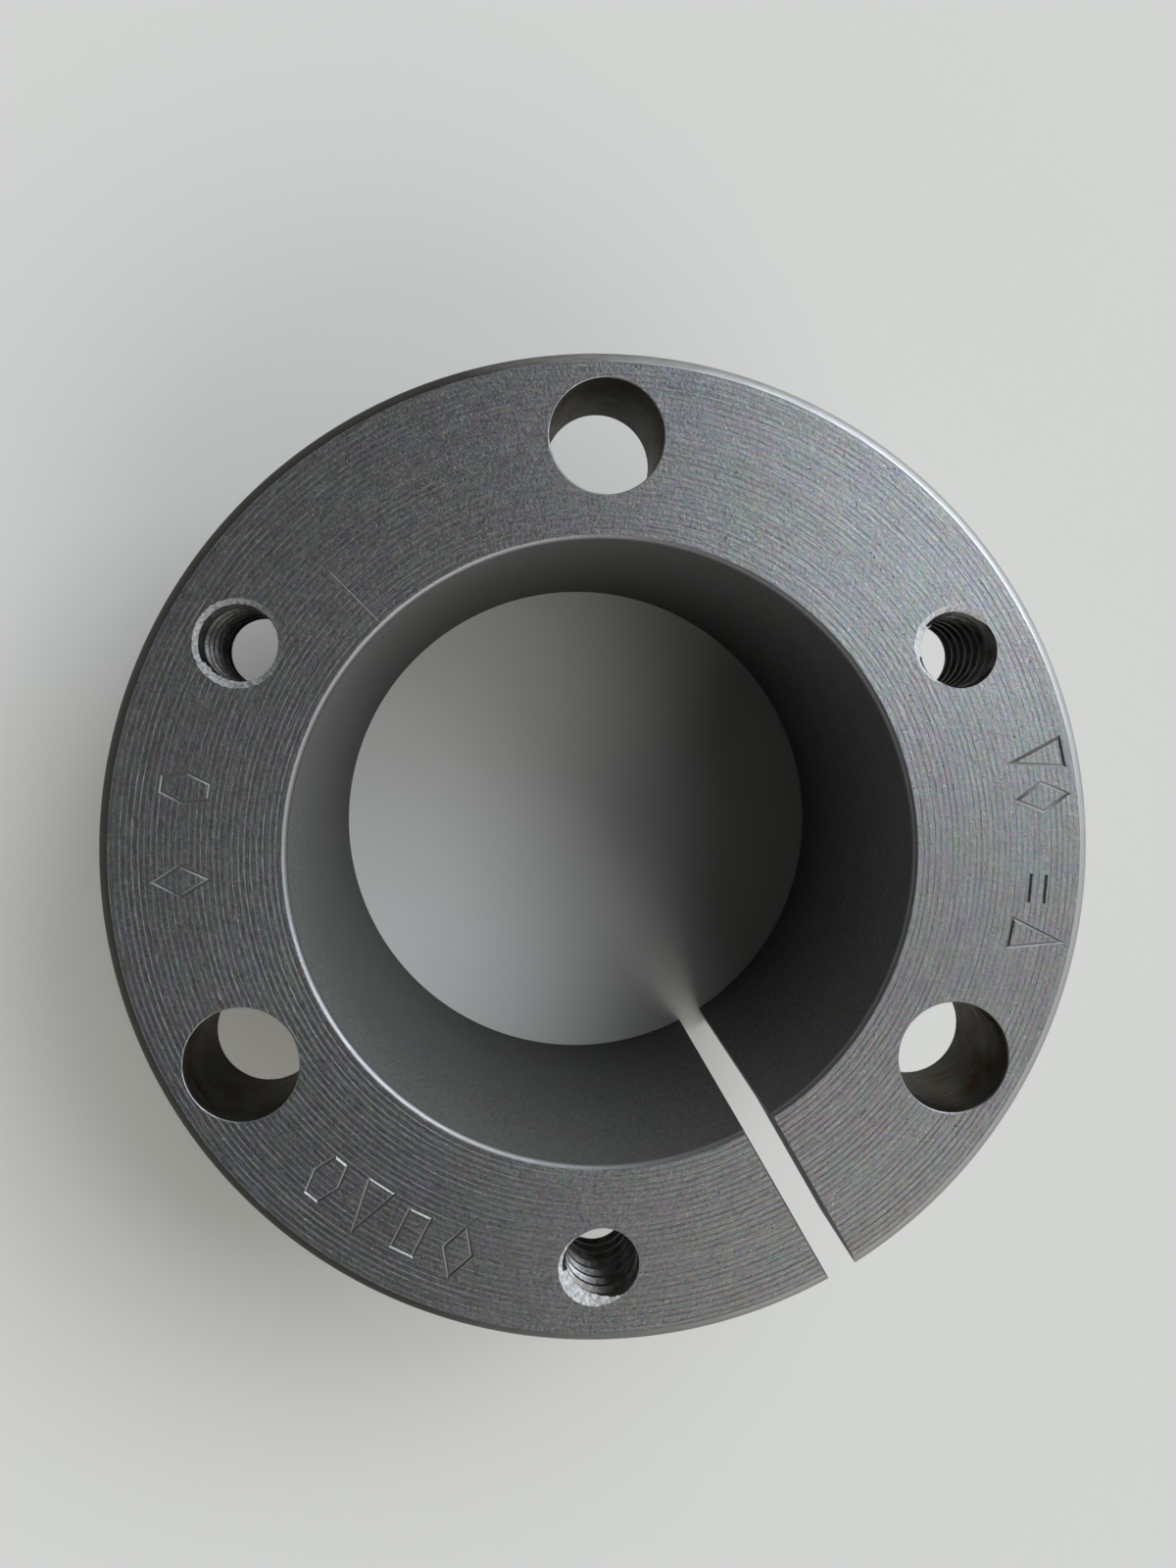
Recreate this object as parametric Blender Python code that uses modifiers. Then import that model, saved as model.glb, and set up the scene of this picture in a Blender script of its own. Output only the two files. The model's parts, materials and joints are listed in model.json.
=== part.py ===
"""Flanged split taper bushing for a 1-1/4 inch shaft, in metres, +Z up.

The bushing stands on the small end of its tapered barrel with the flange on top.
The origin is the centre of the bore at the barrel's end face. A saw slit runs
through the whole wall, so the ring springs closed on the shaft. That spring is a
flexure opposite the slit, and here it is a hinge: the ring is parted there into
two halves that meet across a small gap.
"""

import bmesh
import bpy
from math import cos, radians, sin, tau
from mathutils import Matrix, Vector

MM = 0.001
INCH = 0.0254

# Turned shape
BORE_D = 1.25 * INCH
LENGTH = 1.0 * INCH
FLANGE_D = 50.4 * MM
FLANGE_T = 5 / 16 * INCH
BARREL_SMALL_D = 1.340 * INCH
TAPER = 3 / 4 / 12                  # change of diameter along the barrel, 3/4 inch per foot
BORE_CHAMFER = 0.25 * MM
RIM_CHAMFER = 0.55 * MM
BACK_CHAMFER = 0.4 * MM
END_CHAMFER = 0.2 * MM
FILLET_R = 0.5 * MM                 # between the barrel and the flange's back
FILLET_STEPS = 3
RING_STEPS = 144

# Holes in the flange
BOLT_CIRCLE_D = 42.0 * MM
CLEARANCE_D = 5.75 * MM
CLEARANCE_AT = (90, 210, 330)       # degrees about +Z from +X
TAP_DRILL_D = 3.7 * MM
TAP_COUNTERSINK_D = 4.45 * MM
TAP_COUNTERSINK_DEPTH = 0.55 * MM
TAPPED_AT = (30, 150, 270)
HOLE_SIDES = 32

# Slit and flexure
SLIT_W = 1 / 16 * INCH
SLIT_AT = 300
FLEXURE_AT = SLIT_AT - 180
FLEXURE_GAP = 0.3 * MM
FLEXURE_R = (BORE_D + FLANGE_D) / 4  # middle of the flange's wall

MARGIN = 2 * MM                     # how far a cutter stands past what it cuts

STEEL = (0.33, 0.33, 0.34, 1.0)
STEEL_ROUGHNESS = 0.38


def polar(radius, degrees, z=0.0):
    """A point at a radius and an angle about +Z."""
    return Vector((radius * cos(radians(degrees)), radius * sin(radians(degrees)), z))


def clear_scene():
    for obj in list(bpy.data.objects):
        bpy.data.objects.remove(obj)


def new_collection(name):
    collection = bpy.data.collections.new(name)
    bpy.context.scene.collection.children.link(collection)
    return collection


def steel_material():
    material = bpy.data.materials.new("turned_steel")
    material.use_nodes = True
    shader = material.node_tree.nodes["Principled BSDF"]
    shader.inputs["Base Color"].default_value = STEEL
    shader.inputs["Roughness"].default_value = STEEL_ROUGHNESS
    shader.inputs["Metallic"].default_value = 1.0
    return material


def turned_profile():
    """The wall's section at +X, as (radius, height), down the outer side and up the bore."""
    bore = BORE_D / 2
    rim = FLANGE_D / 2
    back = LENGTH - FLANGE_T
    small = BARREL_SMALL_D / 2

    def barrel(z):
        return small + TAPER / 2 * z

    points = [
        (bore + BORE_CHAMFER, LENGTH),
        (rim - RIM_CHAMFER, LENGTH),
        (rim, LENGTH - RIM_CHAMFER),
        (rim, back + BACK_CHAMFER),
        (rim - BACK_CHAMFER, back),
    ]
    corner = barrel(back - FILLET_R) + FILLET_R
    for step in range(FILLET_STEPS + 1):
        turn = tau / 4 * step / FILLET_STEPS
        points.append((corner - FILLET_R * sin(turn), back - FILLET_R * (1 - cos(turn))))
    points += [
        (barrel(END_CHAMFER), END_CHAMFER),
        (small - END_CHAMFER, 0.0),
        (bore + BORE_CHAMFER, 0.0),
        (bore, BORE_CHAMFER),
        (bore, LENGTH - BORE_CHAMFER),
    ]
    return points


def turned_ring(name, collection, material):
    """The whole ring, as a closed section that a Screw modifier sweeps round."""
    mesh = bpy.data.meshes.new(name)
    section = turned_profile()
    count = len(section)
    edges = [(i, (i + 1) % count) for i in range(count)]
    mesh.from_pydata([(radius, 0.0, z) for radius, z in section], edges, [])
    ring = bpy.data.objects.new(name, mesh)
    collection.objects.link(ring)
    mesh.materials.append(material)
    screw = ring.modifiers.new("turn", "SCREW")
    screw.steps = RING_STEPS
    screw.render_steps = RING_STEPS
    screw.merge_threshold = 0.00001
    screw.use_normal_calculate = True
    return ring


def make_cutter(name, bm, collection):
    """Turn a bmesh into a wire object that the build leaves out."""
    mesh = bpy.data.meshes.new(name)
    bmesh.ops.recalc_face_normals(bm, faces=bm.faces)
    bm.to_mesh(mesh)
    bm.free()
    cutter = bpy.data.objects.new(name, mesh)
    collection.objects.link(cutter)
    cutter.hide_render = True
    cutter.display_type = "WIRE"
    return cutter


def box_cutter(name, low, high, degrees, collection):
    """A box between two corners, given in a frame turned about +Z."""
    bm = bmesh.new()
    size = Vector(high) - Vector(low)
    centre = (Vector(high) + Vector(low)) / 2
    turn = Matrix.Rotation(radians(degrees), 4, "Z")
    place = turn @ Matrix.Translation(centre) @ Matrix.Diagonal((*size, 1.0))
    bmesh.ops.create_cube(bm, size=1.0, matrix=place)
    return make_cutter(name, bm, collection)


def clearance_cutter(degrees, collection):
    """A straight cylinder through the flange."""
    bm = bmesh.new()
    bmesh.ops.create_cone(bm, cap_ends=True, segments=HOLE_SIDES,
                          radius1=CLEARANCE_D / 2, radius2=CLEARANCE_D / 2,
                          depth=FLANGE_T + 2 * MARGIN,
                          matrix=Matrix.Translation((0, 0, LENGTH - FLANGE_T / 2)))
    cutter = make_cutter(f"clearance_hole_{degrees}", bm, collection)
    cutter.location = polar(BOLT_CIRCLE_D / 2, degrees)
    return cutter


def tapped_cutter(degrees, collection):
    """A tap drill's hole with a small countersink, as one turned solid."""
    drill = TAP_DRILL_D / 2
    slope = (TAP_COUNTERSINK_D - TAP_DRILL_D) / 2 / TAP_COUNTERSINK_DEPTH
    top = LENGTH + MARGIN
    top_r = TAP_COUNTERSINK_D / 2 + slope * MARGIN
    rings = [
        (LENGTH - FLANGE_T - MARGIN, drill),
        (LENGTH - TAP_COUNTERSINK_DEPTH, drill),
        (top, top_r),
    ]
    bm = bmesh.new()
    circles = []
    for z, radius in rings:
        circle = bmesh.ops.create_circle(bm, segments=HOLE_SIDES, radius=radius,
                                         matrix=Matrix.Translation((0, 0, z)))
        circles.append(circle["verts"])
    for lower, upper in zip(circles, circles[1:]):
        for i in range(HOLE_SIDES):
            j = (i + 1) % HOLE_SIDES
            bm.faces.new((lower[i], lower[j], upper[j], upper[i]))
    bm.faces.new(circles[0])
    bm.faces.new(circles[-1])
    cutter = make_cutter(f"tapped_hole_{degrees}", bm, collection)
    cutter.location = polar(BOLT_CIRCLE_D / 2, degrees)
    return cutter


def cut(obj, cutter):
    boolean = obj.modifiers.new(cutter.name, "BOOLEAN")
    boolean.operation = "DIFFERENCE"
    boolean.solver = "EXACT"
    boolean.object = cutter


def shade(obj):
    """Smooth round faces with sharp edges between flat ones."""
    obj.data.shade_smooth()
    obj.data.set_sharp_from_angle(angle=radians(30))


def build():
    clear_scene()
    parts = new_collection("split_taper_bushing")
    cutters = new_collection("cutters")
    steel = steel_material()

    reach = FLANGE_D / 2 + MARGIN
    bottom = -MARGIN
    top = LENGTH + MARGIN
    # In the frame turned to the flexure, +X runs out through the flexure and -X
    # through the slit. The first half lies at +Y of it and the other half at -Y.
    slit = box_cutter("slit", (-reach, -SLIT_W / 2, bottom), (0.0, SLIT_W / 2, top),
                      FLEXURE_AT, cutters)
    beyond_first = box_cutter("beyond_first_half", (-reach, -reach, bottom),
                              (reach, FLEXURE_GAP / 2, top), FLEXURE_AT, cutters)
    beyond_sprung = box_cutter("beyond_sprung_half", (-reach, -FLEXURE_GAP / 2, bottom),
                               (reach, reach, top), FLEXURE_AT, cutters)

    flexure = bpy.data.objects.new("flexure_axis", None)
    parts.objects.link(flexure)
    flexure.location = polar(FLEXURE_R, FLEXURE_AT)

    for name, beyond, turn in (("first_half", beyond_first, 0),
                               ("sprung_half", beyond_sprung, 180)):
        half = turned_ring(name, parts, steel)
        shade(half)
        cut(half, beyond)
        cut(half, slit)
        for degrees in CLEARANCE_AT:
            if holds(degrees, turn):
                cut(half, clearance_cutter(degrees, cutters))
        for degrees in TAPPED_AT:
            if holds(degrees, turn):
                cut(half, tapped_cutter(degrees, cutters))
        if name == "sprung_half":
            half.parent = flexure
            half.location = -flexure.location


def holds(degrees, turn):
    """Whether a hole lies in the half that starts at the flexure, turned by some degrees."""
    return (degrees - FLEXURE_AT - turn) % 360 < 180


build()
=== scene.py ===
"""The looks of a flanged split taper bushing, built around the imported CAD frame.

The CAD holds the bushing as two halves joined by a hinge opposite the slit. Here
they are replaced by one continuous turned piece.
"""

import json
from math import atan2, cos, degrees, radians, sin, tan, tau

import bmesh
import bpy
import numpy as np
from mathutils import Matrix, Vector


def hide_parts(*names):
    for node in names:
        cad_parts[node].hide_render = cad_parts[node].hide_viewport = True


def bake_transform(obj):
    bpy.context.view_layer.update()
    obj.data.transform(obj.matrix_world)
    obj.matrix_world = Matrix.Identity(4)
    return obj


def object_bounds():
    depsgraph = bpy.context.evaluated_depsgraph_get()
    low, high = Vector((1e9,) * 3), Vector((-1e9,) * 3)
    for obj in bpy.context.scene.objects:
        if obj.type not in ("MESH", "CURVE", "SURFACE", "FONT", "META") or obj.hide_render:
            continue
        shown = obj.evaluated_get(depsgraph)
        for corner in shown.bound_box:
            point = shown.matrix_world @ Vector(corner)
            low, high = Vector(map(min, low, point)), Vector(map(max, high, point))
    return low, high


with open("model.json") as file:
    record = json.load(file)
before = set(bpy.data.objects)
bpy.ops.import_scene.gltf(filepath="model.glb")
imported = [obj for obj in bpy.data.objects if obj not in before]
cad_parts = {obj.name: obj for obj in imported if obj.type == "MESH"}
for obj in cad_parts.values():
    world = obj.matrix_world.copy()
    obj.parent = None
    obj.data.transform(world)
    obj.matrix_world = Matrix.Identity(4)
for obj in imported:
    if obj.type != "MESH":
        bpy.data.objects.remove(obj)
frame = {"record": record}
CAD_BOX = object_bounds()

MM = 0.001
INCH = 0.0254

# Sizes that the frame gives
MOUNTS = {mount["name"]: mount for mount in frame["record"]["mounts"]}
OPENINGS = {space["name"]: space["box_m"] for space in frame["record"]["physics"]["openings"]}
HINGE = frame["record"]["behaviour"]["joints"][0]
LENGTH = CAD_BOX[1][2] - CAD_BOX[0][2]
FLANGE_R = (CAD_BOX[1][0] - CAD_BOX[0][0]) / 2
BACK_Z = MOUNTS["flange_back"]["pos_m"][2]
BOLT_R = (OPENINGS["clearance_hole_90"][0][1] + OPENINGS["clearance_hole_90"][1][1]) / 2
FLEXURE_AT = degrees(atan2(HINGE["pos_m"][1], HINGE["pos_m"][0]))
SLIT_AT = FLEXURE_AT + 180

# Sizes shared with the CAD
BORE_R = 1.25 * INCH / 2
BARREL_SMALL_R = 1.340 * INCH / 2
TAPER = 3 / 4 / 12 / 2              # change of radius along the barrel
BORE_CHAMFER = 0.25 * MM
RIM_CHAMFER = 0.55 * MM
BACK_CHAMFER = 0.4 * MM
END_CHAMFER = 0.2 * MM
FILLET_R = 0.5 * MM
SLIT_W = 1 / 16 * INCH
CLEARANCE_R = 5.75 * MM / 2
CLEARANCE_AT = (90, 210, 330)
TAPPED_AT = (30, 150, 270)
TAP_DRILL_R = 3.7 * MM / 2
COUNTERSINK_R = 4.45 * MM / 2
COUNTERSINK_DEPTH = 0.55 * MM

# The turned surfaces. A groove is a list of places across it and cuts, as shares of its feed and depth
RING_STEPS = 240
FACING_FEED = 0.305 * MM            # 0.012 inch, one groove a turn
FACING_DEPTH = 0.010 * MM
GROOVE_SPREAD = (0.45, 1.45)        # least and greatest share of its depth that a groove is cut
FACING_GROOVE = ((0.0, 1.0), (0.08, 0.5), (0.16, 0.0), (0.36, 0.4), (0.60, 0.75), (0.84, 0.95))
LIGHT_CUT = 0.6                     # share of the depth missing where the facing tool cut least
LIGHT_CUT_AT = 75
SIDE_FEED = 0.25 * MM
SIDE_DEPTH = 0.005 * MM
SIDE_GROOVE = ((0.0, 1.0), (0.25, 0.0), (0.6, 0.6))
FILLET_STEPS = 6
BORE_STEPS = 8
EDGE_STEPS = 4
EDGE_BULGE = 0.55                   # 0 leaves an edge a flat chamfer, 1 curves it smoothly into both faces
SHARP = 28                          # degrees between faces that aren't shaded smoothly

# Where light and shade are painted onto the steel, in degrees
PAINTED_LIGHT_AT = -2                        # the side from which painted light and shade are laid out; the rim's edge is painted lit here and shaded opposite
RIM_HIGHLIGHT_AT = 60                      # where the rim's edge has its brightest painted highlight
FACE_SHADE_AT = 228                    # where painted shade darkens the face
CHAMFER_SHADE_AT = 335                     # where painted shade darkens the bore's edge

# The holes and the slit
HOLE_SIDES = 96
EDGE_BREAK = 0.09 * MM
BURR = 0.03 * MM                    # how ragged the countersinks' edges are
COUNTERSINKS = (                    # tapped hole, how far the cone is undersize, its drift and where to
    (30, 0.20 * MM, 0.45 * MM, 148),
    (150, 0.0, 0.05 * MM, 150),
    (270, 0.28 * MM, 0.42 * MM, 218),
)

# The 10-24 thread
THREAD_PITCH = INCH / 24
THREAD_MAJOR_R = 4.83 * MM / 2
THREAD_SIDES = 60
THREAD_LEAD_IN = 1.0 * MM
THREAD_MOUTH = 0.15                 # share of the thread's depth that is left at the face

# The marks on the face
STAMP_W = 0.20 * MM
STAMP_DEPTH = 0.055 * MM
MARK_W = 1.5 * MM
MARK_H = 2.7 * MM
MITRE_LIMIT = 0.3                   # keeps the sharp corners of a mark from running out far
STAMPS = (                          # outline, radius, angle
    ("diamond", 22.8 * MM, 7.6),
    ("pointed", 22.8 * MM, 12.8),
    ("triangle", 22.8 * MM, 349.2),
    ("bar", 22.1 * MM, 355.6),
    ("bar", 22.9 * MM, 355.6),
    ("hexagon", 21.1 * MM, 170.8),
    ("diamond", 21.1 * MM, 183.4),
    ("hexagon", 21.5 * MM, 229.5),
    ("triangle", 21.5 * MM, 236.3),
    ("box", 21.5 * MM, 243.1),
    ("diamond", 21.5 * MM, 249.9),
)
LONG_SCRATCH = (                    # radius, angle, length, heading, width of its two ends
    (BORE_R + 0.4 * MM, 134.0, 3.4 * MM, 134.8, 0.07 * MM),
    (BORE_R + 4.0 * MM, 134.3, 3.6 * MM, 135.0, 0.045 * MM),
)
SCRATCH_DEPTH = 0.02 * MM
NICKS = 40
NICK_RADII = (16.8, 24.0)           # least and greatest in millimetres, as the next two are
NICK_LENGTHS = (0.12, 0.5)
NICK_WIDTHS = (0.04, 0.08)
MARKED = ((0, 18), (130, 138), (165, 190), (222, 258), (342, 360))      # degrees that nicks keep out of
HOLE_ROOM = 3.6 * MM                # from a hole's middle to the nearest nick
SLIT_ROOM = 6                       # degrees from the slit to the nearest nick

MARGIN = 1 * MM                     # how far a cutter stands past what it cuts
GROOVE_RISE = 0.1 * MM              # the same for the grooves of marks and scratches

# Colours of the steel, of what is on it and of the light and shade painted onto it
STEEL = (0.222, 0.221, 0.219, 1.0)
# The next two are painted highlights: glints and sparkles on the flange's face
PAINTED_GLINT = (0.30, 0.30, 0.31, 1.0)
PAINTED_SPARKLE = (0.60, 0.62, 0.65, 1.0)
PIT = (0.06, 0.055, 0.05, 1.0)
SCUFF = (0.36, 0.36, 0.37, 1.0)
CHAMFER = (0.26, 0.26, 0.265)
# The next three are painted shade, painted light and a painted highlight on the rim's edges
SHADED_RIM_EDGE = (0.070, 0.069, 0.062, 1.0)
LIT_RIM_EDGE = (0.36, 0.36, 0.35, 1.0)
HIGHLIT_RIM_EDGE = (0.60, 0.60, 0.61, 1.0)
WARM_BORE = (0.235, 0.225, 0.190, 1.0)
COLD_BORE = (0.225, 0.238, 0.250, 1.0)
BORE_FLECK = (0.42, 0.42, 0.42, 1.0)
DRILLED = (0.14, 0.135, 0.12, 1.0)
RUST = (0.12, 0.085, 0.055, 1.0)
HIGHLIT_LIP = (0.30, 0.30, 0.30, 1.0)
THREAD = (0.17, 0.17, 0.168, 1.0)
THREAD_OIL = (0.10, 0.088, 0.072, 1.0)
# Bright partly as freshly cut steel and partly as a painted highlight
CONE = (0.76, 0.76, 0.765)
SAWN = (0.20, 0.20, 0.195)
STAMPED = (0.18, 0.18, 0.18, 1.0)

# The camera, set as the photo's was
LENS_MM = 29.7
SENSOR_MM = 36.0
CAMERA_DISTANCE = 65.4 * MM         # from the flange's face
CAMERA_TILT_X = 2.5                 # degrees, as the next two are
CAMERA_TILT_Y = 3.5
CAMERA_ROLL = -0.3
CAMERA_OFFSET = (0.84 * MM, -3.62 * MM)
NEAR_CLIP = 1 * MM

# The studio
LIGHT_SPREAD = 34                   # degrees
DAYLIGHT, LAMPLIGHT = (0.86, 0.93, 1.0), (1.0, 0.98, 0.92)
LIGHTS = (                          # name, azimuth, elevation, strength, colour
    ("window", 30, 45, 1.45, DAYLIGHT),
    ("window_side", 62, 45, 0.66, DAYLIGHT),
    ("window_head", 0, 62, 0.42, DAYLIGHT),
    ("room", 300, 45, 0.56, LAMPLIGHT),
    ("room_side", 330, 45, 0.24, LAMPLIGHT),
)
FLOOR = (0.76, 0.74, 0.70, 1.0)
FLOOR_REACH = 20.0                  # metres, so that the floor's edge is lost in the horizon
ROOM = (0.98, 1.0, 0.97, 1.0)
HORIZON, CEILING = 0.68, 0.01       # the room's brightness, low down and overhead
DIMMING = (0.25, 0.70)              # sines of the elevations between which the room darkens


# ---------------------------------------------------------------- mesh helpers

def polar(radius, angle, z=0.0):
    """A point at a radius and an angle in degrees about +Z."""
    return Vector((radius * cos(radians(angle)), radius * sin(radians(angle)), z))


def lathe(section, steps, zones):
    """Vertices, faces and a zone for each face of a closed section swept round +Z."""
    count = len(section)
    turn = np.arange(steps) * tau / steps
    radius = np.array([p[0] for p in section])
    height = np.array([p[1] for p in section])
    x = np.outer(np.cos(turn), radius)
    y = np.outer(np.sin(turn), radius)
    z = np.broadcast_to(height, x.shape)
    vertices = np.stack([x, y, z], axis=2).reshape(-1, 3)
    i, j = np.meshgrid(np.arange(steps), np.arange(count), indexing="ij")
    after, below = (i + 1) % steps, (j + 1) % count
    corners = (i * count + j, i * count + below, after * count + below, after * count + j)
    quads = np.stack(corners, axis=2)
    zone = np.broadcast_to(np.array(zones, dtype=np.int32), i.shape)
    return vertices, quads.reshape(-1, 4), zone.flatten()


def mesh_object(name, vertices, faces, zones, materials):
    """A mesh in the scene, each face with the material that its zone numbers."""
    mesh = bpy.data.meshes.new(name)
    mesh.from_pydata(vertices.tolist(), [], faces.tolist())
    for material in materials:
        mesh.materials.append(material)
    mesh.polygons.foreach_set("material_index", zones)
    obj = bpy.data.objects.new(name, mesh)
    bpy.context.scene.collection.objects.link(obj)
    return obj


def carve(obj, cutters):
    """Take the cutters out of a mesh, keeping their materials on the cut faces."""
    for cutter in cutters:
        modifier = obj.modifiers.new(cutter.name, "BOOLEAN")
        modifier.operation = "DIFFERENCE"
        modifier.solver = "MANIFOLD"
        modifier.material_mode = "TRANSFER"
        modifier.object = cutter
    graph = bpy.context.evaluated_depsgraph_get()
    carved = bpy.data.meshes.new_from_object(obj.evaluated_get(graph))
    obj.modifiers.clear()
    old, obj.data = obj.data, carved
    bpy.data.meshes.remove(old)
    for cutter in cutters:
        bpy.data.objects.remove(cutter)


def sharpen(mesh, limit):
    """Shade smoothly except across sharp corners and where one finish meets another."""
    mesh.shade_smooth()
    bm = bmesh.new()
    bm.from_mesh(mesh)
    for edge in bm.edges:
        one, two = edge.link_faces
        edge.smooth = one.material_index == two.material_index and edge.calc_face_angle() < limit
    bm.to_mesh(mesh)
    bm.free()


def make_cutter(name, builders, material):
    """One cutter made of several separate closed shapes."""
    bm = bmesh.new()
    for build in builders:
        build(bm)
    bmesh.ops.triangulate(bm, faces=bm.faces)
    bmesh.ops.recalc_face_normals(bm, faces=bm.faces)
    mesh = bpy.data.meshes.new(name)
    bm.to_mesh(mesh)
    bm.free()
    mesh.materials.append(material)
    cutter = bpy.data.objects.new(name, mesh)
    bpy.context.scene.collection.objects.link(cutter)
    return cutter


# ------------------------------------------------------------ material helpers

class Tree:
    """A short way to write node trees: an input takes a number, a colour or a socket."""

    def __init__(self, owner):
        self.nodes = owner.node_tree.nodes
        self.links = owner.node_tree.links

    def put(self, socket, value):
        """Link a socket or set a number or a colour."""
        if isinstance(value, bpy.types.NodeSocket):
            self.links.new(value, socket)
        else:
            socket.default_value = value

    def add(self, kind, inputs=(), **settings):
        """A new node with its inputs and settings filled in."""
        node = self.nodes.new("ShaderNode" + kind)
        for key, value in settings.items():
            setattr(node, key, value)
        for key, value in dict(inputs).items():
            self.put(node.inputs[key], value)
        return node

    def math(self, operation, a, b=0.0, c=0.0):
        return self.add("Math", {0: a, 1: b, 2: c}, operation=operation).outputs[0]

    def vector(self, operation, a, b=(0, 0, 0), c=(0, 0, 0)):
        node = self.add("VectorMath", {0: a, 1: b, 2: c}, operation=operation)
        return node.outputs["Value" if operation in ("LENGTH", "DOT_PRODUCT") else "Vector"]

    def scale(self, a, factor):
        return self.add("VectorMath", {0: a, "Scale": factor}, operation="SCALE").outputs["Vector"]

    def noise(self, vector, scale=1.0, detail=2.0, roughness=0.5, output="Fac"):
        node = self.add("TexNoise", {"Vector": vector, "Scale": scale, "Detail": detail,
                                     "Roughness": roughness})
        return node.outputs[output]

    def ramp(self, value, low, high, bottom=0.0, top=1.0):
        """Bottom below low, top above high and a straight line between."""
        node = self.add("MapRange", {"Value": value, "From Min": low, "From Max": high,
                                     "To Min": bottom, "To Max": top})
        return node.outputs["Result"]

    def mix(self, factor, a, b):
        node = self.add("Mix", {0: factor, 6: a, 7: b}, data_type="RGBA", blend_type="MIX")
        return node.outputs[2]

    def total(self, *parts):
        """The sum of (weight, value) pairs."""
        result = 0.0
        for weight, value in parts:
            result = self.math("MULTIPLY_ADD", value, weight, result)
        return result

    def bump(self, height, distance):
        return self.add("Bump", {"Height": height, "Distance": distance}).outputs["Normal"]


# ------------------------------------------------------------------- materials

class Steel(Tree):
    """A bare steel shader; the caller gives its colour, roughness and relief.

    `turned` is how much its gloss is drawn out by turning marks, and `edge_on` how bright it
    is when seen edge on. Its point and height are in millimetres.
    """

    def __init__(self, name, metallic=1.0, turned=0.0, edge_on=0.6):
        self.material = bpy.data.materials.new(name)
        self.material.use_nodes = True
        super().__init__(self.material)
        self.shader = self.nodes["Principled BSDF"]
        self.shader.inputs["Metallic"].default_value = metallic
        self.shader.inputs["Specular Tint"].default_value = (edge_on, edge_on, edge_on, 1.0)
        if turned:
            self.shader.inputs["Anisotropic"].default_value = turned
            self.shader.inputs["Anisotropic Rotation"].default_value = 0.25
            tangent = self.add("Tangent", direction_type="RADIAL", axis="Z").outputs[0]
            self.put(self.shader.inputs["Tangent"], tangent)
        coordinates = self.add("TexCoord").outputs["Object"]
        self.point = self.scale(coordinates, 1 / MM)
        self.flat = self.vector("MULTIPLY", self.point, (1, 1, 0))
        self.radius = self.vector("LENGTH", self.flat)
        self.height = self.add("SeparateXYZ", {0: self.point}).outputs["Z"]

    def streaks(self, across, length, fineness, detail=3.0):
        """Noise drawn out round the axis: `length` features a radian, `fineness` a millimetre."""
        around = self.scale(self.vector("NORMALIZE", self.flat), length)
        run = self.add("CombineXYZ", {"Z": self.math("MULTIPLY", across, fineness)}).outputs[0]
        return self.noise(self.vector("ADD", around, run), detail=detail, roughness=0.6)

    def stained(self, colour):
        """A steel colour with faint purple, green and brown stains, coarse and fine."""
        for scale, depth in ((0.4, 0.16), (3.0, 0.55)):
            stain = self.noise(self.point, scale, 2.0, output="Color")
            spread = self.vector("MULTIPLY_ADD", stain, (depth,) * 3, (1 - depth / 2,) * 3)
            colour = self.vector("MULTIPLY", colour, spread)
        return colour

    def side(self, angle=PAINTED_LIGHT_AT):
        """1 on the side of the bushing that an angle gives, -1 on the side opposite."""
        return self.vector("DOT_PRODUCT", self.vector("NORMALIZE", self.flat), polar(1, angle))

    def colour(self, value):
        self.put(self.shader.inputs["Base Color"], value)

    def roughness(self, value):
        self.put(self.shader.inputs["Roughness"], value)

    def relief(self, height, distance):
        self.put(self.shader.inputs["Normal"], self.bump(height, distance))

    def rough_cut(self, marks, smoothest, roughest, depth):
        """Take both the roughness and the relief from one noise."""
        self.roughness(self.ramp(marks, 0.3, 0.7, smoothest, roughest))
        self.relief(marks, depth)


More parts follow.
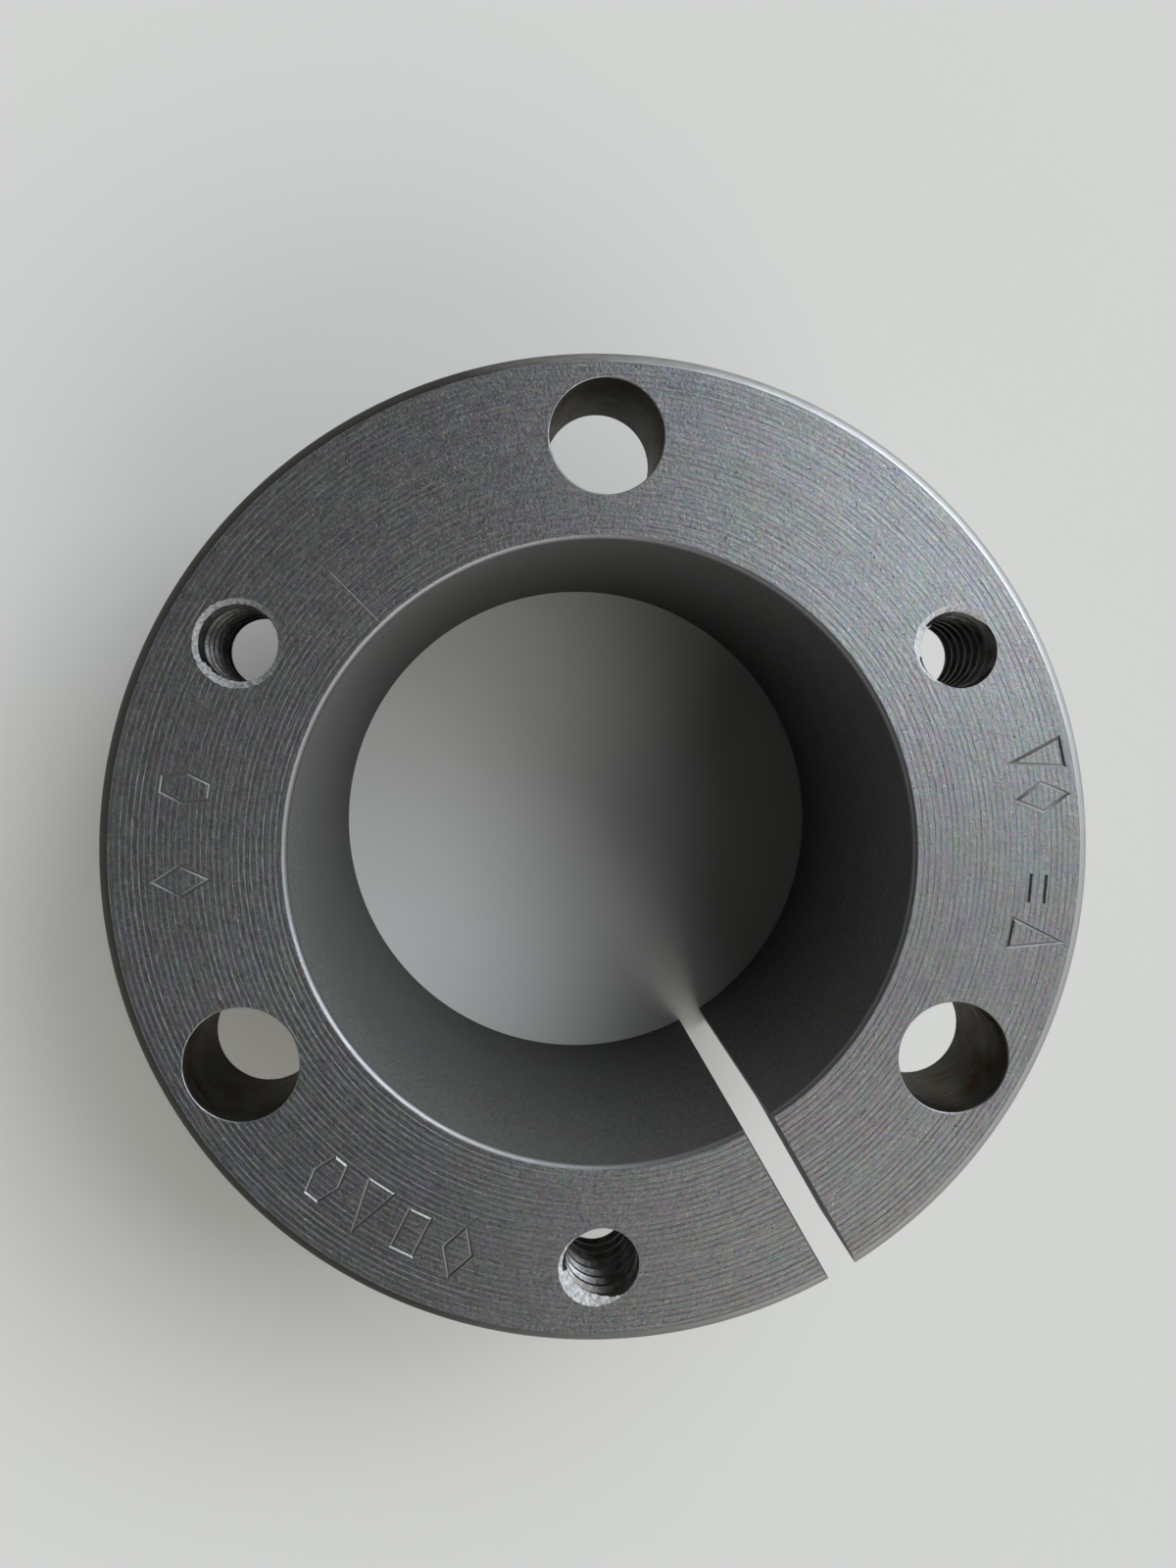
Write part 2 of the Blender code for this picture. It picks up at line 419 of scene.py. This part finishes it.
def faced_steel():
    """The flange's faces: grimy grooves with worn ridges, broken up by a fine grain, painted glints and
    sparkles and painted shade on one side.
    """
    steel = Steel("faced_steel", turned=0.5)
    below_face = steel.math("ABSOLUTE", steel.math("SUBTRACT", LENGTH / MM, steel.height))
    above_back = steel.math("ABSOLUTE", steel.math("SUBTRACT", steel.height, BACK_Z / MM))
    cut = steel.math("MINIMUM", below_face, above_back)
    ridge = steel.ramp(cut, 0.0, FACING_DEPTH / MM * 0.6, 1.0, 0.0)
    grain = steel.noise(steel.point, 6.0, 3.0, 0.7)
    dashes = steel.streaks(steel.radius, 26.0, 8.0)
    lines = steel.streaks(steel.radius, 5.0, 6.0)
    worn_and_lit = steel.math("MULTIPLY", ridge, steel.ramp(steel.streaks(steel.radius, 14.0, 3.0), 0.35, 0.65))
    shade = steel.total((0.22, worn_and_lit), (0.35, lines), (0.45, dashes), (0.75, grain), (0.205, 1.0))
    # Painted glints along the grooves and painted sparkles over the face
    painted_glint = steel.ramp(steel.streaks(steel.radius, 30.0, 9.0, 1.0), 0.60, 0.72, 0.0, 0.45)
    fleck = steel.ramp(steel.noise(steel.point, 11.0, 1.0), 0.72, 0.78)
    elsewhere = steel.vector("ADD", steel.point, (30, 0, 0))
    pit = steel.ramp(steel.noise(elsewhere, 6.0, 1.0), 0.72, 0.78)
    # Painted shade darkens the face on one side
    face_shade = steel.ramp(steel.side(FACE_SHADE_AT), 0.85, 1.0, 1.0, 0.78)
    colour = steel.scale(steel.stained(STEEL[:3]), steel.math("MULTIPLY", shade, face_shade))
    colour = steel.mix(painted_glint, colour, PAINTED_GLINT)
    colour = steel.mix(fleck, colour, PAINTED_SPARKLE)
    steel.colour(steel.mix(pit, colour, PIT))
    steel.roughness(steel.total((0.16, dashes), (0.12, grain), (0.27, 1.0)))
    steel.relief(steel.total((0.7, dashes), (0.5, lines), (1.0, grain), (-0.4, pit)), 0.018 * MM)
    return steel.material


def turned_side_steel():
    """The rim and the barrel: fine turning marks round the axis, oily patches and small scuffs."""
    steel = Steel("turned_side_steel", turned=0.5)
    grain = steel.noise(steel.point, 7.0, 3.0, 0.65)
    fine = steel.streaks(steel.height, 18.0, 11.0)
    coarse = steel.streaks(steel.height, 3.0, 2.2)
    feed = steel.math("SINE", steel.math("MULTIPLY", steel.height, tau / (SIDE_FEED / MM)))
    oil = steel.ramp(steel.noise(steel.point, 0.22, 4.0, 0.6), 0.42, 0.64)
    scuff = steel.ramp(steel.streaks(steel.height, 7.0, 16.0, 1.0), 0.68, 0.76, 0.0, 0.6)
    shade = steel.total((0.55, coarse), (0.45, fine), (0.35, grain), (-0.22, oil), (0.48, 1.0))
    colour = steel.scale(steel.stained(STEEL[:3]), shade)
    steel.colour(steel.mix(scuff, colour, SCUFF))
    steel.roughness(steel.total((0.22, fine), (0.10, grain), (-0.08, oil), (0.27, 1.0)))
    steel.relief(steel.total((1.0, fine), (0.5, grain), (0.3, feed)), 0.007 * MM)
    return steel.material


def chamfer_steel():
    """The chamfers of the bore and the barrel, smoother than the faces, with painted shade on one side."""
    steel = Steel("chamfer_steel", metallic=0.8, turned=0.3, edge_on=0.2)
    fine = steel.streaks(steel.math("ADD", steel.radius, steel.height), 20.0, 12.0)
    grain = steel.noise(steel.point, 9.0, 2.0)
    # Painted shade darkens one side
    steel.colour(steel.scale(CHAMFER, steel.ramp(steel.side(CHAMFER_SHADE_AT), 0.3, 0.9, 1.0, 0.6)))
    steel.roughness(steel.total((0.20, fine), (0.26, 1.0)))
    steel.relief(steel.total((0.7, fine), (0.6, grain)), 0.012 * MM)
    return steel.material


def rim_edge_steel():
    """The rim's chamfers: a painted highlight on one side of the flange, painted shade on the other."""
    steel = Steel("rim_edge_steel", turned=0.3)
    fine = steel.streaks(steel.math("ADD", steel.radius, steel.height), 20.0, 12.0)
    # Painted shade on one side of the flange and painted light on the other, brightest as a painted
    # highlight
    worn_and_lit = steel.ramp(steel.total((1.0, steel.side()), (0.3, fine)), -0.2, 0.55)
    highlit = steel.mix(steel.ramp(steel.side(RIM_HIGHLIGHT_AT), -0.5, 0.7), LIT_RIM_EDGE, HIGHLIT_RIM_EDGE)
    steel.colour(steel.mix(worn_and_lit, SHADED_RIM_EDGE, highlit))
    steel.roughness(steel.total((0.20, fine), (0.28, 1.0)))
    steel.relief(fine, 0.012 * MM)
    return steel.material


def bored_steel():
    """The bore: darker and matt, with painted shade that darkens it most at its far end, and painted light
    and shade that vary round it.
    """
    steel = Steel("bored_steel", metallic=0.5, turned=0.3, edge_on=0.1)
    coarse = steel.streaks(steel.height, 2.5, 0.5)
    fine = steel.streaks(steel.height, 12.0, 8.0)
    grain = steel.noise(steel.point, 5.0, 3.0, 0.7)
    fleck = steel.ramp(steel.noise(steel.point, 9.0, 1.0), 0.74, 0.80)
    # Painted shade, darker towards the far end; on one side painted light low down and painted shade high
    # up
    painted_shade = steel.ramp(steel.height, 0.0, LENGTH / MM, 0.43, 1.1)
    lit_side_by_height = steel.ramp(steel.height, 0.0, LENGTH / MM, 1.5, 0.5)
    painted_shade = steel.math("MULTIPLY", painted_shade, steel.ramp(steel.side(), -0.4, 0.9, 1.0, lit_side_by_height))
    shade = steel.math("MULTIPLY", painted_shade, steel.total((1.3, grain), (0.2, fine), (0.25, 1.0)))
    wall = steel.scale(steel.mix(coarse, WARM_BORE, COLD_BORE), shade)
    steel.colour(steel.mix(fleck, wall, BORE_FLECK))
    steel.roughness(steel.total((0.16, fine), (0.38, 1.0)))
    steel.relief(steel.total((0.8, fine), (0.6, grain)), 0.010 * MM)
    return steel.material


def drilled_steel():
    """The walls of the clearance holes: dark, with the drill's turns along them and a painted highlight on
    their lip at the face.
    """
    steel = Steel("drilled_steel", edge_on=0.4)
    marks = steel.noise(steel.vector("MULTIPLY", steel.point, (0.8, 0.8, 7.0)), 1.0, 3.0)
    rust = steel.ramp(steel.noise(steel.point, 0.9, 3.0), 0.45, 0.7)
    # A painted highlight on the lip at the face
    edge = (LENGTH - EDGE_BREAK) / MM
    on_lip = steel.ramp(steel.height, edge - 0.02, edge + 0.02)
    steel.colour(steel.mix(on_lip, steel.mix(rust, DRILLED, RUST), HIGHLIT_LIP))
    steel.rough_cut(marks, 0.32, 0.55, 0.03 * MM)
    return steel.material


def tapped_steel():
    """The threads: torn flanks with patches of oil, painted light near their mouths and painted shade on
    one side of the bushing.
    """
    steel = Steel("tapped_steel", edge_on=0.4)
    torn = steel.noise(steel.point, 6.0, 3.0)
    oil = steel.ramp(steel.noise(steel.point, 1.2, 2.0), 0.4, 0.65)
    # Painted shade on one side of the bushing and painted light on the rest
    side_light = steel.ramp(steel.side(), -0.8, -0.2, 0.45, 1.3)
    side_light = steel.math("MULTIPLY", side_light, steel.ramp(steel.side(), 0.2, 0.8, 1.0, 0.8))
    # Painted light near the mouths
    mouth = steel.ramp(steel.height, LENGTH / MM - 1.2, LENGTH / MM - 0.4, 1.0, 1.5)
    colour = steel.mix(oil, THREAD, THREAD_OIL)
    steel.colour(steel.scale(colour, steel.math("MULTIPLY", side_light, mouth)))
    steel.rough_cut(torn, 0.28, 0.46, 0.02 * MM)
    return steel.material


def countersunk_steel():
    """The cones at the tapped holes' mouths: bright, torn and burred, with a painted highlight on one side
    of the bushing.
    """
    steel = Steel("countersunk_steel", metallic=0.15)
    torn = steel.noise(steel.vector("MULTIPLY", steel.point, (3.0, 3.0, 1.2)), 2.0, 3.0, 0.6)
    # A painted highlight on one side of the bushing and painted shade on the other
    side_light = steel.ramp(steel.side(), -0.8, 0.8, 0.55, 1.45)
    shade = steel.math("MULTIPLY", side_light, steel.ramp(torn, 0.3, 0.7, 0.40, 1.3))
    steel.colour(steel.scale(CONE, steel.math("MINIMUM", shade, 1.2)))
    steel.rough_cut(torn, 0.30, 0.48, 0.05 * MM)
    return steel.material


def sawn_steel():
    """The slit's walls: the saw's straight strokes."""
    steel = Steel("sawn_steel", edge_on=0.4)
    stroke = steel.add("CombineXYZ", {"X": steel.math("MULTIPLY", steel.radius, 0.6),
                                      "Y": steel.math("MULTIPLY", steel.height, 6.0)}).outputs[0]
    marks = steel.noise(stroke, 1.0, 3.0)
    steel.colour(steel.scale(SAWN, steel.ramp(marks, 0.3, 0.7, 0.75, 1.2)))
    steel.rough_cut(marks, 0.34, 0.5, 0.012 * MM)
    return steel.material


def stamped_steel():
    """The flanks of the stamped marks and scratches."""
    steel = Steel("stamped_steel")
    steel.colour(STAMPED)
    steel.rough_cut(steel.noise(steel.point, 6.0, 2.0), 0.28, 0.48, 0.01 * MM)
    return steel.material


# ------------------------------------------------------------ the turned solid

FACED, EDGE, RIM_EDGE, SIDE, BORED = range(5)


def grooved(low, high, feed, depth, shape, seed):
    """Positions across a turned surface and how far each is cut below it, groove by groove."""
    count = round(abs(high - low) / feed)
    chance = np.random.default_rng(seed)
    places = []
    for groove in range(count):
        deep = depth * chance.uniform(*GROOVE_SPREAD)
        for share, cut in shape:
            places.append((low + (high - low) * (groove + share) / count, cut * deep))
    return places


def broken_edge(start, corner, end):
    """Points that round a chamfer off between its two ends, bulging towards the corner."""
    start, corner, end = Vector(start), Vector(corner), Vector(end)
    pull = (start + end) / 2 + (corner - (start + end) / 2) * EDGE_BULGE
    points = []
    for step in range(EDGE_STEPS):
        t = step / EDGE_STEPS
        points.append(tuple(start * (1 - t) ** 2 + pull * 2 * t * (1 - t) + end * t ** 2))
    return points


def lighten_cut(vertices, zones):
    """Make the facing grooves shallower on one side of the flange, where the tool cut less."""
    faced = (np.array(zones) == FACED).nonzero()[0]
    rows = vertices.reshape(RING_STEPS, -1, 3)[:, faced]
    height = rows[..., 2]
    angle = np.arctan2(rows[..., 1], rows[..., 0])
    depth = 1 - LIGHT_CUT * (1 + np.cos(angle - radians(LIGHT_CUT_AT))) / 2
    surface = np.where(height > (LENGTH + BACK_Z) / 2, LENGTH, BACK_Z)
    on_flange = height > BACK_Z / 2
    rows[..., 2] = np.where(on_flange, surface + (height - surface) * depth, height)
    vertices.reshape(RING_STEPS, -1, 3)[:, faced] = rows


def bushing_section():
    """The wall's section at +X, down the outer side and up the bore, with each stretch's finish."""
    def barrel(z):
        return BARREL_SMALL_R + TAPER * z

    face_in, face_out = BORE_R + BORE_CHAMFER, FLANGE_R - RIM_CHAMFER
    rim_top, rim_foot = LENGTH - RIM_CHAMFER, BACK_Z + BACK_CHAMFER
    root = barrel(BACK_Z - FILLET_R)
    face = grooved(face_in, face_out, FACING_FEED, FACING_DEPTH, FACING_GROOVE, 1)
    rim = grooved(rim_top, rim_foot, SIDE_FEED, SIDE_DEPTH, SIDE_GROOVE, 2)
    back = grooved(FLANGE_R - BACK_CHAMFER, root + FILLET_R, FACING_FEED, FACING_DEPTH, FACING_GROOVE, 3)
    fillet = []
    for step in range(FILLET_STEPS):
        turn = tau / 4 * step / FILLET_STEPS
        fillet.append((root + FILLET_R * (1 - sin(turn)), BACK_Z - FILLET_R * (1 - cos(turn))))
    bore = np.linspace(BORE_CHAMFER, LENGTH - BORE_CHAMFER, BORE_STEPS, endpoint=False)
    back_out, end_out = FLANGE_R - BACK_CHAMFER, BARREL_SMALL_R - END_CHAMFER
    stretches = [
        (FACED, [(r, LENGTH - cut) for r, cut in face]),
        (RIM_EDGE, broken_edge((face_out, LENGTH), (FLANGE_R, LENGTH), (FLANGE_R, rim_top))),
        (SIDE, [(FLANGE_R - cut, z) for z, cut in rim]),
        (RIM_EDGE, broken_edge((FLANGE_R, rim_foot), (FLANGE_R, BACK_Z), (back_out, BACK_Z))),
        (FACED, [(r, BACK_Z + cut) for r, cut in back]),
        (SIDE, fillet),
        (SIDE, [(root, BACK_Z - FILLET_R)]),
        (EDGE, broken_edge((barrel(END_CHAMFER), END_CHAMFER), (BARREL_SMALL_R, 0.0), (end_out, 0.0))),
        (FACED, [(end_out, 0.0)]),
        (EDGE, broken_edge((face_in, 0.0), (BORE_R, 0.0), (BORE_R, BORE_CHAMFER))),
        (BORED, [(BORE_R, z) for z in bore]),
        (EDGE, broken_edge((BORE_R, LENGTH - BORE_CHAMFER), (BORE_R, LENGTH), (face_in, LENGTH))),
    ]
    section = [point for _, points in stretches for point in points]
    zones = [finish for finish, points in stretches for _ in points]
    return section, zones


# ---------------------------------------------------------------- the cutters

def add_lathe(bm, section, steps, centre, ragged=0.0, seed=0):
    """A closed turned solid whose section starts and ends on its own axis."""
    chance = np.random.default_rng(seed)
    uneven = ragged * chance.uniform(-1, 1, steps)
    rings = []
    for radius, z in section:
        if radius == 0.0:
            rings.append([bm.verts.new(centre + Vector((0, 0, z)))])
        else:
            rings.append([bm.verts.new(centre + polar(radius + uneven[k], 360 * k / steps, z))
                          for k in range(steps)])
    for upper, lower in zip(rings, rings[1:]):
        for k in range(steps):
            m = (k + 1) % steps
            corners = [upper[k % len(upper)], lower[k % len(lower)], lower[m % len(lower)],
                       upper[m % len(upper)]]
            bm.faces.new(list(dict.fromkeys(corners)))


def lip(radius):
    """Radii and depths of a hole's edge, broken and rounded, from the surface inward."""
    return ((radius + EDGE_BREAK, -MARGIN), (radius + EDGE_BREAK, -0.1 * EDGE_BREAK),
            (radius + 0.3 * EDGE_BREAK, 0.3 * EDGE_BREAK), (radius, EDGE_BREAK))


def clearance_hole(angle):
    """A drilled hole with its edges just broken."""
    top = [(r, LENGTH - deep) for r, deep in lip(CLEARANCE_R)]
    foot = [(r, BACK_Z + deep) for r, deep in reversed(lip(CLEARANCE_R))]
    section = [(0.0, LENGTH + MARGIN), *top, *foot, (0.0, BACK_Z - MARGIN)]
    return lambda bm: add_lathe(bm, section, HOLE_SIDES, polar(BOLT_R, angle))


def countersink(angle, undersize, drift, towards):
    """The ragged cone at the mouth of a tapped hole, on the flange's face and a little off its axis."""
    slope = (COUNTERSINK_R - TAP_DRILL_R) / COUNTERSINK_DEPTH
    mouth = COUNTERSINK_R - undersize
    section = [
        (0.0, LENGTH + MARGIN),
        (mouth + slope * MARGIN, LENGTH + MARGIN),
        (mouth - slope * (COUNTERSINK_DEPTH + MARGIN), LENGTH - COUNTERSINK_DEPTH - MARGIN),
        (0.0, LENGTH - COUNTERSINK_DEPTH - MARGIN),
    ]
    centre = polar(BOLT_R, angle) + polar(drift, towards)
    return lambda bm: add_lathe(bm, section, HOLE_SIDES, centre, BURR, angle)


def thread(angle):
    """A 10-24 tap's shape: a helix of crest, flank, root and flank, capped at both ends."""
    flank = (THREAD_MAJOR_R - TAP_DRILL_R) * tan(radians(30))
    crest = THREAD_PITCH / 4
    turn_profile = [
        (0.0, 0.0),
        (crest, 0.0),
        (crest + flank, 1.0),
        (THREAD_PITCH - flank, 1.0),
    ]
    start = BACK_Z - MARGIN - THREAD_PITCH
    turns = int((LENGTH + MARGIN - start) / THREAD_PITCH) + 1
    sides = THREAD_SIDES
    centre = polar(BOLT_R, angle)

    def corner_at(index, along, rise):
        z = start + THREAD_PITCH * index / sides + along
        full = min(1.0, max(THREAD_MOUTH, (LENGTH - z) / THREAD_LEAD_IN))
        radius = TAP_DRILL_R + rise * full * (THREAD_MAJOR_R - TAP_DRILL_R)
        return centre + polar(radius, 360 * index / sides, z)

    def build(bm):
        rows = []
        for index in range(turns * sides + 1):
            rows.append([bm.verts.new(corner_at(index, along, rise)) for along, rise in turn_profile])
        last = len(turn_profile) - 1

        def above(index):
            """The vertex that closes a row's profile: the first of the row one turn on."""
            return rows[index + sides][0]

        for index in range((turns - 1) * sides):
            here, there = rows[index], rows[index + 1]
            for k in range(last):
                bm.faces.new((here[k], there[k], there[k + 1], here[k + 1]))
            bm.faces.new((here[last], there[last], above(index + 1), above(index)))
        end = (turns - 1) * sides
        bottom = [rows[k][0] for k in range(sides + 1)] + rows[0][:0:-1]
        top = [rows[end + k][0] for k in range(sides + 1)] + rows[end][:0:-1]
        for loop, z in ((bottom, start), (top, start + THREAD_PITCH * (turns + 0.5))):
            middle = bm.verts.new(centre + Vector((0, 0, z)))
            for a, b in zip(loop, loop[1:] + loop[:1]):
                bm.faces.new((a, b, middle))
        loose = [v for v in bm.verts if not v.link_faces]
        bmesh.ops.delete(bm, geom=loose, context="VERTS")

    return build


def slit(bm):
    """The saw cut from the bore out through the rim, with its edges just broken on the face."""
    half = SLIT_W / 2
    flare = EDGE_BREAK + MARGIN
    outline = [
        (-half, -MARGIN), (half, -MARGIN), (half, LENGTH - EDGE_BREAK),
        (half + flare, LENGTH + MARGIN), (-half - flare, LENGTH + MARGIN), (-half, LENGTH - EDGE_BREAK),
    ]
    outward, across = polar(1, SLIT_AT), polar(1, SLIT_AT + 90)
    ends = []
    for radius in (BORE_R / 2, FLANGE_R + MARGIN):
        ends.append([bm.verts.new(outward * radius + across * t + Vector((0, 0, z))) for t, z in outline])
    near, far = ends
    count = len(outline)
    for k in range(count):
        m = (k + 1) % count
        bm.faces.new((near[k], near[m], far[m], far[k]))
    bm.faces.new(near)
    bm.faces.new(far)


def groove(path, width, depth, closed):
    """A V-shaped groove in the flange's face along a path of (x, y) points."""
    def build(bm):
        count = len(path)
        rows = []
        for k in range(count):
            here = Vector(path[k])
            before = Vector(path[k - 1]) if closed or k > 0 else here - (Vector(path[1]) - here)
            after = Vector(path[(k + 1) % count]) if closed or k < count - 1 else here + (here - before)
            a, b = (here - before).normalized(), (after - here).normalized()
            middle = (a + b).normalized()
            side = Vector((-middle.y, middle.x)) / max(MITRE_LIMIT, middle.dot(a))
            wide = width / 2 * (1 + GROOVE_RISE / depth)
            top, foot = Vector((0, 0, LENGTH + GROOVE_RISE)), Vector((0, 0, LENGTH - depth))
            rows.append([
                bm.verts.new((here + side * wide).to_3d() + top),
                bm.verts.new((here - side * wide).to_3d() + top),
                bm.verts.new(here.to_3d() + foot),
            ])
        pairs = list(zip(rows, rows[1:])) + ([(rows[-1], rows[0])] if closed else [])
        for one, two in pairs:
            for k in range(3):
                m = (k + 1) % 3
                bm.faces.new((one[k], one[m], two[m], two[k]))
        if not closed:
            bm.faces.new(rows[0])
            bm.faces.new(rows[-1])
    return build


def regular(sides):
    """A regular outline in a circle of radius 1."""
    return [(cos(tau * k / sides), sin(tau * k / sides)) for k in range(sides)]


OUTLINES = {                        # as shares of a mark's half width and half height
    "triangle": [(-1, -1), (1, -1), (0, 1)],
    "pointed": [(-1, 1), (0, -1), (1, 1)],
    "box": [(-0.8, -0.8), (0.8, -0.8), (0.8, 0.8), (-0.8, 0.8)],
    "diamond": regular(4),
    "hexagon": regular(6),
    "bar": [(-1, 0), (1, 0)],
}


def stamp(name, radius, angle):
    """A plain geometric mark on the face, its outline's +Y pointing outward."""
    turn = Matrix.Rotation(radians(angle - 90), 2)
    centre = polar(radius, angle).to_2d()
    path = [centre + turn @ Vector((MARK_W / 2 * x, MARK_H / 2 * y)) for x, y in OUTLINES[name]]
    return groove(path, STAMP_W, STAMP_DEPTH, closed=len(path) > 2)


def scratch(radius, angle, length, heading, width):
    """A straight shallow scratch from a point on the face."""
    start = polar(radius, angle).to_2d()
    end = start + polar(length, heading).to_2d()
    return groove([start, end], width, SCRATCH_DEPTH, closed=False)


def nicks():
    """Small nicks scattered over the plain parts of the face."""
    marks = []
    chance = np.random.default_rng(7)
    for _ in range(NICKS):
        radius, angle = chance.uniform(*NICK_RADII) * MM, chance.uniform(0, 360)
        length, heading = chance.uniform(*NICK_LENGTHS) * MM, chance.uniform(0, 360)
        if clear(polar(radius, angle)):
            marks.append(scratch(radius, angle, length, heading, chance.uniform(*NICK_WIDTHS) * MM))
    return marks


def clear(point):
    """Whether a point on the face is well away from the holes, the slit and the stamped marks."""
    angle = degrees(atan2(point.y, point.x)) % 360
    off_holes = all((point - polar(BOLT_R, at)).length > HOLE_ROOM for at in CLEARANCE_AT + TAPPED_AT)
    marked = any(low < angle < high for low, high in MARKED)
    return off_holes and abs(angle - SLIT_AT) > SLIT_ROOM and not marked


# ----------------------------------------------------------------- the bushing

def make_bushing():
    """The turned solid in one mesh, carved by each tool in turn."""
    section, zones = bushing_section()
    finishes = [faced_steel(), chamfer_steel(), rim_edge_steel(), turned_side_steel(), bored_steel()]
    vertices, faces, face_zones = lathe(section, RING_STEPS, zones)
    lighten_cut(vertices, zones)
    bushing = mesh_object("bushing", vertices, faces, face_zones, finishes)
    marks = [stamp(*mark) for mark in STAMPS] + [scratch(*part) for part in LONG_SCRATCH] + nicks()
    carve(bushing, [
        make_cutter("slit_cut", [slit], sawn_steel()),
        make_cutter("drilled_cut", [clearance_hole(a) for a in CLEARANCE_AT], drilled_steel()),
        make_cutter("tapped_cut", [thread(a) for a in TAPPED_AT], tapped_steel()),
        make_cutter("countersink_cut", [countersink(*cone) for cone in COUNTERSINKS], countersunk_steel()),
        make_cutter("stamp_cut", marks, stamped_steel()),
    ])
    sharpen(bushing.data, radians(SHARP))
    return bushing


# ------------------------------------------------------------------- the studio

def make_camera():
    """A near camera looking almost straight down the bore."""
    data = bpy.data.cameras.new("camera")
    data.lens = LENS_MM
    data.sensor_width = SENSOR_MM
    data.clip_start = NEAR_CLIP
    camera = bpy.data.objects.new("camera", data)
    bpy.context.scene.collection.objects.link(camera)
    turns = ((CAMERA_TILT_X, "X"), (CAMERA_TILT_Y, "Y"), (CAMERA_ROLL, "Z"))
    tilt_x, tilt_y, roll = [Matrix.Rotation(radians(angle), 4, axis) for angle, axis in turns]
    turn = tilt_x @ tilt_y @ roll
    seen = Matrix.Translation((*CAMERA_OFFSET, -CAMERA_DISTANCE)) @ turn
    camera.matrix_world = Matrix.Translation((0, 0, LENGTH)) @ seen.inverted()
    bpy.context.scene.camera = camera


def make_light(name, azimuth, elevation, strength, colour):
    """A broad soft light from far away, so that the floor is lit evenly."""
    data = bpy.data.lights.new(name, "SUN")
    data.angle = radians(LIGHT_SPREAD)
    data.energy = strength
    data.color = colour
    light = bpy.data.objects.new(name, data)
    bpy.context.scene.collection.objects.link(light)
    from_light = -polar(cos(radians(elevation)), azimuth, sin(radians(elevation)))
    light.rotation_euler = from_light.to_track_quat("-Z", "Y").to_euler()


def make_floor():
    """A plain pale floor under the part."""
    mesh = bpy.data.meshes.new("floor")
    corners = [(-1, -1), (1, -1), (1, 1), (-1, 1)]
    mesh.from_pydata([(x * FLOOR_REACH, y * FLOOR_REACH, 0) for x, y in corners], [], [(0, 1, 2, 3)])
    floor = bpy.data.objects.new("floor", mesh)
    bpy.context.scene.collection.objects.link(floor)
    material = bpy.data.materials.new("floor")
    material.use_nodes = True
    shader = material.node_tree.nodes["Principled BSDF"]
    shader.inputs["Base Color"].default_value = FLOOR
    shader.inputs["Roughness"].default_value = 0.8
    shader.inputs["Specular IOR Level"].default_value = 0.2
    mesh.materials.append(material)
    floor.location.z = CAD_BOX[0][2]


def make_world():
    """A dark room above a pale horizon that the floor runs into."""
    world = bpy.data.worlds.new("world")
    bpy.context.scene.world = world
    world.use_nodes = True
    tree = Tree(world)
    towards = tree.add("SeparateXYZ", {0: tree.add("TexCoord").outputs["Generated"]}).outputs["Z"]
    level = tree.ramp(towards, *DIMMING, HORIZON, CEILING)
    background = tree.nodes["Background"]
    background.inputs["Color"].default_value = ROOM
    tree.put(background.inputs["Strength"], level)


bpy.context.scene.view_settings.view_transform = "Standard"
make_camera()
make_world()
make_floor()
for light in LIGHTS:
    make_light(*light)

bushing = make_bushing()
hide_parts("first_half", "sprung_half")
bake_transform(bushing)
